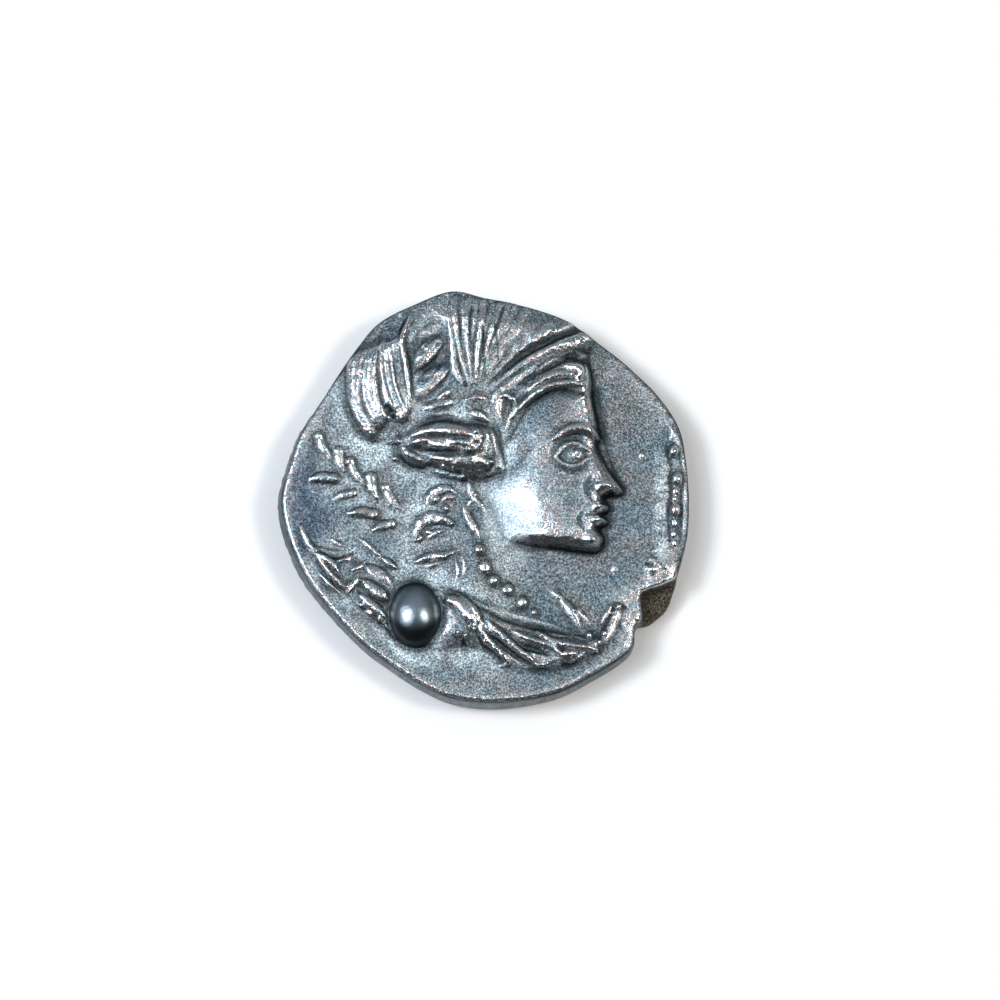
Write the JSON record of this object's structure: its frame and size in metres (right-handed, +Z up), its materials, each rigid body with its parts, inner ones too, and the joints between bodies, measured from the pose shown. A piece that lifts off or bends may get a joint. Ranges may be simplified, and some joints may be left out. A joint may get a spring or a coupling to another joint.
{
  "type": "silver drachm",
  "caption": "Struck silver drachm with a head in profile on its upper face, the hair plaited and bound over a small wing, on an uneven flan with a broken edge, and a plain starred reverse to lie on.",
  "frame": {"origin": "on the ground under the middle of the coin, which lies on its reverse", "axes": "+Z up through the coin's thickness, out of the carved face; +X the way the head faces; +Y from the neck towards the crown of the head"},
  "size_m": [0.0172, 0.0176, 0.0026],
  "materials": {
    "struck_silver": "struck silver, finely granular in the fields, polished on the high relief, dark in the recesses"
  },
  "bodies": {
    "root": {"silver_drachm": "struck_silver"}
  },
  "joints": []
}
